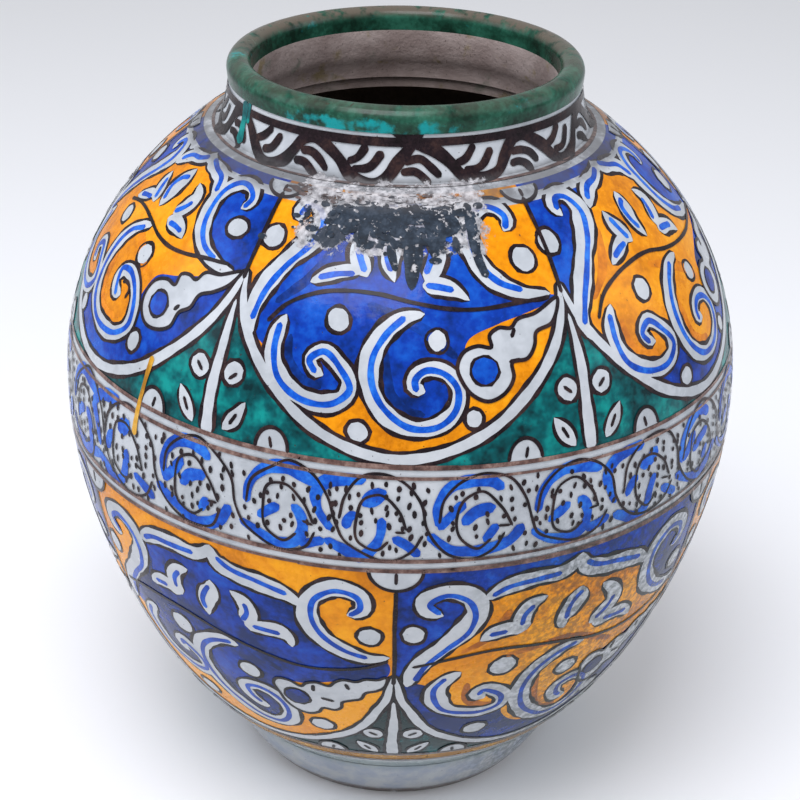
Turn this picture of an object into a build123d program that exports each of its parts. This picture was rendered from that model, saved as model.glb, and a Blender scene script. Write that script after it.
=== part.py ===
"""A big painted jar of tin-glazed earthenware.

A jar of this size is too tall to throw in one piece.  It is built from clay pieces
that are turned one by one, set on each other while leather hard, and luted with slip:
a foot ring, a base disc, three courses of the body, a bead, a neck and a rim roll.

Millimetres, +Z up, origin in the middle of the foot ring's resting face.
Every piece is a section in the XZ plane, as radius and height, turned about Z.
"""
from build123d import *
from math import cos, radians, sin
import os

# ---- The whole jar ----
total_height = 480.0
belly_radius = 212.3
belly_height = 257.5          # height of the widest line

# ---- Foot ring ----
foot_height = 40.0
foot_top_radius = 120.3
foot_splay = 21.1             # how far the ring draws in from its top to its sole
foot_bulge = 1.6              # how far the ring's side swells beyond a straight slope
foot_sole_width = 19.0
foot_top_width = 24.0
foot_edge_round = 2.0

# ---- Base disc and body walls ----
base_thickness = 12.0
base_overhang = 1.0           # how far the body stands over the foot ring's top edge
wall = 9.5
flare_angle = 41.8            # rise of the flank as it leaves the foot, degrees
flare_fullness = 0.357        # pull of the flare, as a part of the flank's chord
lower_belly_fullness = 0.198
shoulder_angle = 37.8         # fall of the shoulder as it leaves the bead, degrees
shoulder_fullness = 0.585
upper_belly_fullness = 0.142

# ---- Seams of the body: each course has a tongue that stands in a rebate of the next ----
lower_seam_height = 150.0
upper_seam_height = 305.0
tongue_height = 8.0
tongue_width = 4.6
slip_film = 0.3               # slip left between upright luted faces

# ---- Neck, with the throat inside it ----
mouth_radius = 92.0
neck_height = 33.0
neck_wall = 14.0              # at the top of the neck
neck_spread = 6.5             # how much wider the neck is at its foot than at its top
neck_waist_spread = 2.2       # the same at the waist
neck_waist_height = 21.0
neck_foot_height = 8.0        # upright part of the neck, behind the bead
throat_wall = 11.5            # width of the neck's seat on the body
throat_height = 17.0          # the bore widens below this height above the seat

# ---- Bead round the foot of the neck ----
bead_width = 16.9
bead_height = 7.0
bead_swell = 1.5              # how far the bead stands out of a straight bevel

# ---- Rim roll ----
rim_height = 14.0
rim_overhang = 0.6            # how far the roll stands out of the neck
rim_swell_height = 5.5        # height above the seat where the roll starts to turn over
rim_lip_width = 7.0           # from the bore to the crown
rim_lip_height = 6.0          # height above the seat where the roll ends in the bore

# ---- Sizes that follow ----
foot_sole_radius = foot_top_radius - foot_splay
base_radius = foot_top_radius + base_overhang
base_top = foot_height + base_thickness
neck_top = total_height - rim_height
neck_seat = neck_top - neck_height
neck_top_radius = mouth_radius + neck_wall
neck_waist_radius = neck_top_radius + neck_waist_spread
neck_foot_radius = neck_top_radius + neck_spread
throat_radius = neck_foot_radius - throat_wall
bead_bore = neck_foot_radius + slip_film
shoulder_radius = bead_bore + bead_width


def turned(section):
    """A full turn of a section about the jar's axis."""
    return revolve(section, Axis.Z, 360)


def line(start, end):
    return Edge.make_line((start[0], 0, start[1]), (end[0], 0, end[1]))


def arc(start, middle, end):
    points = [(radius, 0, height) for radius, height in (start, middle, end)]
    return Edge.make_three_point_arc(*points)


def turn_over(crown, end):
    """An arc that leaves a crown level and falls to an end beside it."""
    level = (1 if end[0] > crown[0] else -1, 0, 0)
    return Edge.make_tangent_arc((crown[0], 0, crown[1]), level, (end[0], 0, end[1]))


def section_of(*edges):
    """A flat section from edges that run end to end and close."""
    return Face(Wire(edges))


def block(inner, outer, low, high):
    """A rectangular section between two radii and two heights."""
    corners = [(inner, low), (outer, low), (outer, high), (inner, high)]
    return section_of(*[line(corners[i - 1], corners[i]) for i in range(4)])


def flank(belly, end, angle, belly_fullness, end_fullness):
    """One curve from the upright belly line to an end where the wall leans by an angle."""
    away = 1 if end[1] > belly[1] else -1
    chord = (Vector(*end) - Vector(*belly)).length
    belly_pull = (belly[0], belly[1] + away * belly_fullness * chord)
    end_pull = (
        end[0] + cos(radians(angle)) * end_fullness * chord,
        end[1] - away * sin(radians(angle)) * end_fullness * chord,
    )
    points = [(radius, 0, height) for radius, height in (belly, belly_pull, end_pull, end)]
    return Edge.make_bezier(*points)


def body_form(lower_end, belly, upper_end):
    """The body as if it were solid, from its lower end over the belly to its upper end."""
    lower_axis = (0, lower_end[1])
    upper_axis = (0, upper_end[1])
    return section_of(
        line(lower_axis, lower_end),
        flank(belly, lower_end, flare_angle, lower_belly_fullness, flare_fullness),
        flank(belly, upper_end, shoulder_angle, upper_belly_fullness, shoulder_fullness),
        line(upper_end, upper_axis),
        line(upper_axis, lower_axis),
    )


def form_at(depth):
    """The body as if it were solid, one depth inside its outer surface."""
    foot_lean = (sin(radians(flare_angle)), cos(radians(flare_angle)))
    neck_lean = (sin(radians(shoulder_angle)), cos(radians(shoulder_angle)))
    return body_form(
        (base_radius - foot_lean[0] * depth, foot_height + foot_lean[1] * depth),
        (belly_radius - depth, belly_height),
        (shoulder_radius - neck_lean[0] * depth, neck_seat - neck_lean[1] * depth),
    )


def hollow():
    """The inside of the body, with the throat that opens it to the neck."""
    return form_at(wall) + block(0, throat_radius, neck_seat - wall, neck_seat)


def between(section, low, high):
    """The part of a section between two heights."""
    return section & block(0, 2 * belly_radius, low, high)


def body_course(low, high):
    """One course of the body: rebated over the tongue below, with a tongue of its own on top."""
    shell = form_at(0) - hollow()
    course = between(shell, low, high)
    if low > base_top:
        rebate = form_at(wall - tongue_width - slip_film)
        course -= between(rebate, low, low + tongue_height)
    if high < neck_seat:
        tongue = form_at(wall - tongue_width) - hollow()
        course += between(tongue, high, high + tongue_height)
    return turned(course)


def foot_ring():
    """The ring that the jar stands on, its side swelling a little from sole to top."""
    sole = (foot_sole_radius, 0)
    top = (foot_top_radius, foot_height)
    swell = ((sole[0] + top[0]) / 2 + foot_bulge, foot_height / 2 - foot_bulge)
    inner_top = (foot_top_radius - foot_top_width, foot_height)
    inner_sole = (foot_sole_radius - foot_sole_width, 0)
    ring = turned(section_of(
        line(inner_sole, sole),
        arc(sole, swell, top),
        line(top, inner_top),
        line(inner_top, inner_sole),
    ))
    outer_edges = ring.edges().filter_by(GeomType.CIRCLE).sort_by(lambda edge: edge.radius)[-2:]
    return fillet(outer_edges, foot_edge_round)


def base_disc():
    """The slab that closes the jar, its edge carrying on the line of the flank."""
    return turned(between(form_at(0), foot_height, base_top))


def lower_body():
    """The bowl that rises from the base disc."""
    return body_course(base_top, lower_seam_height)


def belly():
    """The widest course, under the painted band."""
    return body_course(lower_seam_height, upper_seam_height)


def shoulder():
    """The course that closes in to the neck's seat."""
    return body_course(upper_seam_height, neck_seat)


def neck():
    """The collar: upright behind the bead, waisted above, with the bore widening below."""
    waist = (neck_waist_radius, neck_seat + neck_waist_height)
    bead_line = (neck_foot_radius, neck_seat + neck_foot_height)
    top = (neck_top_radius, neck_top)
    bore_top = (mouth_radius, neck_top)
    bore_end = (mouth_radius, neck_seat + throat_height)
    throat = (throat_radius, neck_seat)
    foot = (neck_foot_radius, neck_seat)
    return turned(section_of(
        line(foot, bead_line),
        arc(bead_line, waist, top),
        line(top, bore_top),
        line(bore_top, bore_end),
        line(bore_end, throat),
        line(throat, foot),
    ))


def neck_bead():
    """The rounded fillet of clay that covers the joint of neck and shoulder."""
    inner = (bead_bore, neck_seat)
    outer = (shoulder_radius, neck_seat)
    top = (bead_bore, neck_seat + bead_height)
    slope = (Vector(*top) - Vector(*outer)).normalized()
    middle = ((outer[0] + top[0]) / 2, (outer[1] + top[1]) / 2)
    swell = (middle[0] + slope.Y * bead_swell, middle[1] - slope.X * bead_swell)
    return turned(section_of(
        line(inner, outer),
        arc(outer, swell, top),
        line(top, inner),
    ))


def rim_roll():
    """The rolled lip: it stands a little proud of the neck and turns over into the bore."""
    foot = (neck_top_radius, neck_top)
    swell = (neck_top_radius + rim_overhang, neck_top + rim_swell_height)
    crown = (mouth_radius + rim_lip_width, total_height)
    lip = (mouth_radius, neck_top + rim_lip_height)
    bore_foot = (mouth_radius, neck_top)
    return turned(section_of(
        line(bore_foot, foot),
        line(foot, swell),
        turn_over(crown, swell),
        turn_over(crown, lip),
        line(lip, bore_foot),
    ))


PIECES = {
    "foot_ring": foot_ring,
    "base_disc": base_disc,
    "lower_body": lower_body,
    "belly": belly,
    "shoulder": shoulder,
    "neck_bead": neck_bead,
    "neck": neck,
    "rim_roll": rim_roll,
}

os.makedirs("parts", exist_ok=True)
for name, make in PIECES.items():
    export_step(make(), f"parts/{name}.step")
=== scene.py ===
from bisect import bisect_right
from math import ceil, copysign, cos, hypot, pi, radians, sin, sqrt
import random

import bmesh
import bpy
from mathutils import Euler, Matrix, Vector


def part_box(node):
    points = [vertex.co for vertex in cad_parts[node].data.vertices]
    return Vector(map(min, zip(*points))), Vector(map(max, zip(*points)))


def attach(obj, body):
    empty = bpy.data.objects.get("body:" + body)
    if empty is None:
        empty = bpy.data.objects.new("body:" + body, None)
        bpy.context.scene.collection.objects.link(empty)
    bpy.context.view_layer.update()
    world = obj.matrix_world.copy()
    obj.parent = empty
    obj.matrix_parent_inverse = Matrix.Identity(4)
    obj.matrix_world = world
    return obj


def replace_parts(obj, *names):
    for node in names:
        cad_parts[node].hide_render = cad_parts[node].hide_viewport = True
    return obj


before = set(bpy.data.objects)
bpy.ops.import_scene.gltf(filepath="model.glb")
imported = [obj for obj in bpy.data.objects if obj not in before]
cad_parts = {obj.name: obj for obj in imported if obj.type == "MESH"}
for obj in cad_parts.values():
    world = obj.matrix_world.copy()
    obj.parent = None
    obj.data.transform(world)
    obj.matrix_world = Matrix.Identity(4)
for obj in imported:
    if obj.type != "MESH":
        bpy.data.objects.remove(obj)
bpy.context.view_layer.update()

MM = 0.001

# ---------------------------------------------------------------------------
# The skin of the jar.  A place on it is an angle round the jar in degrees
# (0 faces the front, + to the right) and a distance up the wall in mm,
# measured from the edge of the sole.
# ---------------------------------------------------------------------------

GLAZE_DEPTH = 0.75    # mm that the white skin lies inside the clay piece's own surface
COAT = 0.1            # mm that each coat of colour stands above the one before
TILT = 4.5            # mm that the bands above the belly were drawn higher on the left
TILT_FROM, TILT_TO = 285.0, 340.0   # mm up the wall, where that tilt comes in
LEVEL_FROM, LEVEL_TO = 100.0, 40.0  # mm below the neck's top, where it goes again
BODY_NODES = ("base_disc", "lower_body", "belly", "shoulder")
BODY_ROWS, BEAD_ROWS, NECK_ROWS = 44, 4, 5  # points taken up each part of the wall
LEAN_REACH = 2        # mm over which the wall's direction is averaged


def node_points(name):
    """Radius and height in mm of each vertex of a CAD node."""
    return [(hypot(v.co.x, v.co.y) / MM, v.co.z / MM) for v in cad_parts[name].data.vertices]


def node_span(name):
    low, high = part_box(name)
    return low.z / MM, high.z / MM


def share(value, start, end):
    """How far a value has come from a start to an end, from 0 to 1."""
    return min(max((value - start) / (end - start), 0), 1)


def side_of(points, low, high, count, pick=max):
    """A few points up the outer (or with min the inner) side of a turned piece."""
    rows = {}
    for radius, height in points:
        row = round((height - low) / (high - low) * count)
        end = low if row == 0 else high if row == count else height
        if 0 <= row <= count and abs(height - end) < 0.05:
            rows[row] = pick(rows.get(row, (radius, height)), (radius, height))
    return [rows[row] for row in sorted(rows)]


def curve_through(points, closed=False, step=1.5, scale=1.0):
    """A smooth line through a few points, as closely spaced points."""
    count = len(points)
    knots = [Vector((p[0] * scale, *p[1:])) for p in points]
    line = []
    for i in range(count if closed else count - 1):
        a, b, c, d = [
            knots[(i + k) % count] if closed else knots[min(max(i + k, 0), count - 1)]
            for k in (-1, 0, 1, 2)
        ]
        before, here, after = [max(v.xy.length, 1e-6) for v in (b - a, c - b, d - c)]
        chord = (c - b) / here
        start = chord if b == a else ((b - a) / before * here + chord * before) / (before + here)
        end = chord if d == c else ((d - c) / after * here + chord * after) / (after + here)
        pieces = max(2, ceil(here / step))
        for k in range(pieces):
            t = k / pieces
            line.append(
                b * (2 * t ** 3 - 3 * t ** 2 + 1) + start * here * (t ** 3 - 2 * t ** 2 + t)
                + c * (3 * t ** 2 - 2 * t ** 3) + end * here * (t ** 3 - t ** 2)
            )
    if not closed:
        line.append(knots[-1])
    return [(p[0] / scale, *p[1:]) for p in line]


class Skin:
    """The outer wall from the foot of the body to the top of the neck."""

    def __init__(self):
        foot, shoulder_top = node_span("base_disc")[0], node_span("shoulder")[1]
        bead_top = node_span("neck_bead")[1]
        neck_top = node_span("neck")[1]
        body = [p for name in BODY_NODES for p in node_points(name)]
        wall = side_of(body, foot, shoulder_top, BODY_ROWS)
        bead = side_of(node_points("neck_bead"), shoulder_top, bead_top, BEAD_ROWS)
        neck = node_points("neck")
        middle = (min(neck)[0] + max(neck)[0]) / 2
        collar = side_of([p for p in neck if p[0] > middle], bead_top, neck_top, NECK_ROWS)
        sole = max(r for r, h in node_points("foot_ring") if h < 0.5)
        rows = curve_through(wall, step=2) + curve_through(bead[1:], step=1)
        rows += curve_through(collar, step=2)
        self.up, self.rows = [hypot(wall[0][0] - sole, foot)], [rows[0]]
        for radius, height in rows[1:]:
            gap = hypot(radius - self.rows[-1][0], height - self.rows[-1][1])
            if gap > 0.05:
                self.up.append(self.up[-1] + gap)
                self.rows.append((radius, height))
        self.heights = [height for _, height in self.rows]

    def at(self, value, scale=None):
        """Radius, height and lean of the wall, at a distance up it or at a height."""
        scale = scale or self.up
        i = min(max(bisect_right(scale, value) - 1, 0), len(scale) - 2)
        t = share(value, scale[i], scale[i + 1])
        (ra, ha), (rb, hb) = self.rows[i], self.rows[i + 1]
        slope = Vector((hb - ha, ra - rb)).normalized()
        return ra + (rb - ra) * t, ha + (hb - ha) * t, slope

    def lean_at(self, height):
        """The wall's outward direction at a height, averaged over a few mm."""
        leans = [self.at(height + d, self.heights)[2] for d in (-LEAN_REACH, 0, LEAN_REACH)]
        return sum(leans, Vector((0, 0))).normalized()

    def mm_per_degree(self, up):
        return radians(1) * self.at(up)[0]

    def wall(self, up, coat=0):
        """Radius and height in mm of the wall, some coats of glaze above the white."""
        radius, height, lean = self.at(up)
        depth = coat * COAT - GLAZE_DEPTH
        return radius + lean.x * depth, height + lean.y * depth

    def point(self, angle, up, coat):
        """A place on the skin in metres, where the bands run a little aslant."""
        rise = share(up, TILT_FROM, TILT_TO)
        fall = share(self.up[-1] - up, LEVEL_TO, LEVEL_FROM)
        turn = radians(angle)
        radius, height = self.wall(up - TILT * rise * fall * sin(turn), coat)
        return Vector((radius * sin(turn), -radius * cos(turn), height)) * MM


skin = Skin()


# ---------------------------------------------------------------------------
# The clay pieces, turned on the wheel and covered with white tin glaze
# ---------------------------------------------------------------------------

TURN_STEPS = 240
ROW = 4.0             # mm between rows up a wall
INNER_ROW = 5.0       # the same inside
FOOT_ROWS, FOOT_INNER_ROWS, RIM_ROWS = 20, 4, 14
SHARP = radians(35)   # edges bent more than this stay sharp
GLAZED_WITHIN = 3     # mm inside the skin where the glaze gives way to bare clay
INSIDE_FROM = 4       # mm inside the skin where a vertex counts as the inner side
BODY_END = 60         # mm below the neck's top: seams under this are matched in height


def piece_from(shape, name, finishes):
    """A finished piece from its mesh: smooth, but sharp where two faces meet at an edge."""
    for edge in shape.edges:
        edge.smooth = len(edge.link_faces) != 2 or edge.calc_face_angle(0) < SHARP
    for face in shape.faces:
        face.smooth = True
    mesh = bpy.data.meshes.new(name)
    shape.to_mesh(mesh)
    shape.free()
    piece = bpy.data.objects.new(name, mesh)
    bpy.context.scene.collection.objects.link(piece)
    for finish in finishes:
        mesh.materials.append(finish)
    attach(piece, "root")
    return piece


def turned(name, side, finishes, closed=True):
    """Turns a side line of radius and height, in mm, into the piece that stands for a node."""
    shape = bmesh.new()
    verts = [shape.verts.new((radius * MM, 0, height * MM)) for radius, height in side]
    pairs = list(zip(verts, verts[1:])) + ([(verts[-1], verts[0])] if closed else [])
    edges = [shape.edges.new(pair) for pair in pairs]
    bmesh.ops.spin(
        shape, geom=verts + edges, cent=(0, 0, 0), axis=(0, 0, 1), angle=2 * pi,
        steps=TURN_STEPS, use_merge=True,
    )
    bmesh.ops.remove_doubles(shape, verts=shape.verts, dist=0.01 * MM)
    bmesh.ops.recalc_face_normals(shape, faces=shape.faces)
    if len(finishes) > 1:
        for face in shape.faces:
            middle = face.calc_center_median() / MM
            inwards = -face.normal.xy.dot(middle.xy.normalized())
            flat_foot = abs(face.normal.z) > 0.8 and name in ("base_disc", "foot_ring")
            glazed_to = skin.at(middle.z, skin.heights)[0] - GLAZED_WITHIN
            within = name != "foot_ring" and middle.xy.length < glazed_to
            face.material_index = int(inwards > 0.1 or flat_foot or within)
    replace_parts(piece_from(shape, name + "_clay", finishes), name)


def outer_side(low, high):
    """The white skin's side line between two heights, matched to the pieces next to it."""
    start, end = [
        next(u for u, h in zip(skin.up, skin.heights) if h >= z - 0.01) for z in (low, high)
    ]
    body_end = skin.heights[-1] - BODY_END
    if high < body_end:
        end += high - skin.wall(end)[1]
    if skin.heights[0] + 1 < low < body_end:
        start += low - skin.wall(start)[1]
    steps = max(2, ceil((end - start) / ROW))
    side = [skin.wall(start + (end - start) * i / steps) for i in range(steps + 1)]
    side[0], side[-1] = (side[0][0], low), (side[-1][0], high)
    return side


def inner_side(name, low, high):
    """The bare inner side line of a clay piece between two heights."""
    points = [
        p for p in node_points(name) if p[0] < skin.at(p[1], skin.heights)[0] - INSIDE_FROM
    ]
    rows = max(2, round((high - low) / INNER_ROW))
    side = [p for p in side_of(points, low, high, rows, min) if low + 1 < p[1] < high - 1]
    return [(side[0][0], low), *side, (side[-1][0], high)]


def build_clay(white, bare, rim):
    """One turned piece for each clay piece of the jar, butted at the seams."""
    seams = [node_span(name)[0] for name in BODY_NODES] + [node_span("shoulder")[1]]
    for name, low, high in zip(BODY_NODES, seams, seams[1:]):
        side = outer_side(low, high)
        if name == "base_disc":
            turned(name, [(0, low), *side, (0, high)], (white, bare), closed=False)
        else:
            side += reversed(inner_side(name, low, high))
            turned(name, side, (white, bare))
    points, (low, high) = node_points("foot_ring"), node_span("foot_ring")
    side = side_of(points, low, high, FOOT_ROWS)
    side += side_of(points, low, high, FOOT_INNER_ROWS, min)[::-1]
    turned("foot_ring", side, (white, bare))
    low, bead_top = node_span("neck_bead")
    bore = min(node_points("neck_bead"))[0]
    side = outer_side(low, bead_top - 0.01) + [(bore, bead_top - GLAZE_DEPTH), (bore, low)]
    turned("neck_bead", side, (white, bare))
    low, high = node_span("neck")
    side = [(bore - GLAZE_DEPTH, low), *outer_side(bead_top, high)]
    turned("neck", side + inner_side("neck", low, high)[::-1], (white, bare))
    points, (low, high) = node_points("rim_roll"), node_span("rim_roll")
    side = side_of(points, low, high, RIM_ROWS)
    side += side_of(points, low, high, RIM_ROWS, min)[-2::-1]
    turned("rim_roll", side, (rim,))


# ---------------------------------------------------------------------------
# Brushwork.  Each coat of colour stands a little above the one before: the
# fields first, then the white petals with a dark edge under them, then the
# accents and the last dark lines.
# ---------------------------------------------------------------------------

FIELD, PALMETTE, EDGE, WHITE, ACCENT, LINE, DRIP = 1, 2, 3, 4, 5, 6, 7
FINE_LINE = 1.7       # mm, the same brush held lightly
DARK_LINE = 2.2       # mm, the liner brush
ACCENT_LINE = 3.5     # mm, the broad blue brush
FLAT_DEGREE = 3.3     # mm that a degree is taken as while a shape is still flat
SMOOTH = 1.5          # mm between the points of a smooth outline
BEAD_FROM = 484.5     # mm up the wall, where the bead's tight curves need closer cuts
WEAVE = 6.0           # mm between the cuts that let a flat field bend to the wall

coats = {}
hand = random.Random(7)


def lay(shape, coat):
    """Adds a finished shape to the coat of colour that it belongs to."""
    sheet = bpy.data.meshes.new("shape")
    shape.to_mesh(sheet)
    shape.free()
    coats.setdefault(coat, bmesh.new()).from_mesh(sheet)
    bpy.data.meshes.remove(sheet)


def placed(path, centre=0.0, flip=False, widen=1.0):
    """The same path drawn round another centre."""
    turn = -widen if flip else widen
    return [(centre + angle * turn, *rest) for angle, *rest in path]


def drawn_in(path, by):
    """A path whose upper left and right parts come nearer to the middle by some degrees."""
    return [
        (angle - copysign(by, angle) * share(abs(angle), 9.6, 13.6) * share(up, 415, 440), up, *w)
        for angle, up, *w in path
    ]


def fill(coat, outline, level):
    """A field of colour inside a closed smooth line."""
    shape = bmesh.new()
    verts = [shape.verts.new((angle * FLAT_DEGREE, up, 0)) for angle, up in outline]
    edges = [shape.edges.new((verts[i - 1], verts[i])) for i in range(len(verts))]
    bmesh.ops.triangle_fill(shape, use_beauty=True, edges=edges, normal=(0, 0, 1))
    for axis in (0, 1):
        places = [v.co[axis] for v in shape.verts]
        along = Vector((axis == 0, axis == 1, 0))
        cuts = [cut * WEAVE for cut in range(ceil(min(places) / WEAVE), ceil(max(places) / WEAVE))]
        if axis and max(places) > BEAD_FROM:
            cuts += [BEAD_FROM + cut for cut in range(int(max(places) - BEAD_FROM) + 1)]
        for cut in cuts:
            geometry = shape.verts[:] + shape.edges[:] + shape.faces[:]
            bmesh.ops.bisect_plane(shape, geom=geometry, plane_co=along * cut, plane_no=along)
    for face in shape.faces:
        if face.normal.z < 0:
            face.normal_flip()
    for vert in shape.verts:
        vert.co = skin.point(vert.co.x / FLAT_DEGREE, vert.co.y, level)
    lay(shape, coat)


def stroke(coat, path, level, width=None, grow=0.0, shake=0.2, closed=False):
    """One pull of the brush: a strip bent along a path, rounded at its ends.

    The path gives angle, distance up the wall and, if the width isn't even, width in mm.
    An open stroke's width swells and thins a little in two slow waves, and it sways.
    """
    path = [(*place[:2], (width or place[2]) + grow) for place in path]
    widest = max(place[2] for place in path)
    line = curve_through(path, closed, step=min(max(1.3, widest * 0.3), 3), scale=FLAT_DEGREE)
    if closed:
        line.append(line[0])
    seed = hand.uniform(0, 100)
    count = len(line) - 1
    walked, ways = [0.0], []
    for i, (angle, up, _) in enumerate(line):
        (a, u, _), (b, v, _) = line[max(i - 1, 0)], line[min(i + 1, count)]
        degree = skin.mm_per_degree(up)
        ways.append((Vector(((b - a) * degree, v - u)).normalized(), degree))
        if i:
            walked.append(walked[-1] + hypot((angle - a) * degree, up - u))
    length = walked[-1]
    shape = bmesh.new()
    bmesh.ops.create_grid(shape, x_segments=count, y_segments=1 if widest < 6 else 3, size=1)
    for vert in shape.verts:
        i = round((vert.co.x + 1) / 2 * count)
        angle, up, wide = line[i]
        way, degree = ways[i]
        half = wide / 2
        if not closed:
            half *= 1 + 0.07 * sin(walked[i] * 0.19 + seed) + 0.04 * sin(walked[i] * 0.53 + seed * 2)
            nearest = min(walked[i], length - walked[i])
            round_off = min(half, length / 2)
            if nearest < round_off:
                half *= sqrt(max(1 - (1 - nearest / round_off) ** 2, 0.04))
        aside = vert.co.y * half + (0 if closed else shake * sin(walked[i] * 0.13 + seed * 3))
        vert.co = skin.point(angle - way.y * aside / degree, up + way.x * aside, level)
    lay(shape, coat)


def dab(coat, angle, up, wide, tall, level, lean=0.0, sides=18):
    """One touch of the brush: a small oval."""
    shape = bmesh.new()
    bmesh.ops.create_circle(shape, cap_ends=True, segments=sides, radius=1)
    degree = skin.mm_per_degree(up)
    for vert in shape.verts:
        swell = hand.uniform(0.94, 1.06) / 2
        x, y = vert.co.x * wide * swell, vert.co.y * tall * swell
        x, y = x * cos(lean) - y * sin(lean), x * sin(lean) + y * cos(lean)
        vert.co = skin.point(angle + x / degree, up + y, level)
    lay(shape, coat)


def petal(zone, path, accent=None, grow=0.6):
    """A white stroke with a dark edge showing round it and a line of blue down it."""
    stroke(zone + "_dark_edges", path, EDGE, grow=grow + 2 * DARK_LINE, shake=0)
    stroke(zone + "_white_petals", path, WHITE, grow=grow, shake=0)
    if accent:
        stroke(zone + "_blue_accents", accent, ACCENT, ACCENT_LINE)


def spot(zone, angle, up, wide, tall, lean=0.0):
    """A white oval with a dark edge."""
    dab(zone + "_dark_edges", angle, up, wide + 2 * DARK_LINE, tall + 2 * DARK_LINE, EDGE, lean)
    dab(zone + "_white_petals", angle, up, wide, tall, WHITE, lean)


def cut_shape(zone, outline, centre, widen=1.0):
    """A white shape with any outline, lined round in dark."""
    path = placed(outline, centre, widen=widen)
    smooth = curve_through([p[:2] for p in path], True, SMOOTH, FLAT_DEGREE)
    fill(zone + "_white_petals", smooth, WHITE)
    stroke(zone + "_dark_lines", path, LINE, DARK_LINE, closed=True)


def half_disc(zone, centre, up, wide, tall):
    """A white half-round on a line, standing up or, with a minus, hanging down."""
    turns = [radians(a) for a in range(0, 181, 20)]
    bow = [(centre - wide * cos(turn), up + tall * sin(turn)) for turn in turns]
    smooth = curve_through(bow, step=SMOOTH, scale=FLAT_DEGREE)
    fill(zone + "_white_petals", smooth, WHITE)
    stroke(zone + "_dark_lines", bow, LINE, DARK_LINE)


# ---------------------------------------------------------------------------
# The palmette of the shoulder and the palmette under the belly.  Places are
# degrees from the middle of their panel and mm up the wall, and a third number
# is the stroke's width in mm.  A pendant is its line, half its width in degrees
# and its depth, the eye its place and width, a spot its place, width and
# height, and each petal is a white stroke with the blue line down it.
# ---------------------------------------------------------------------------

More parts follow.
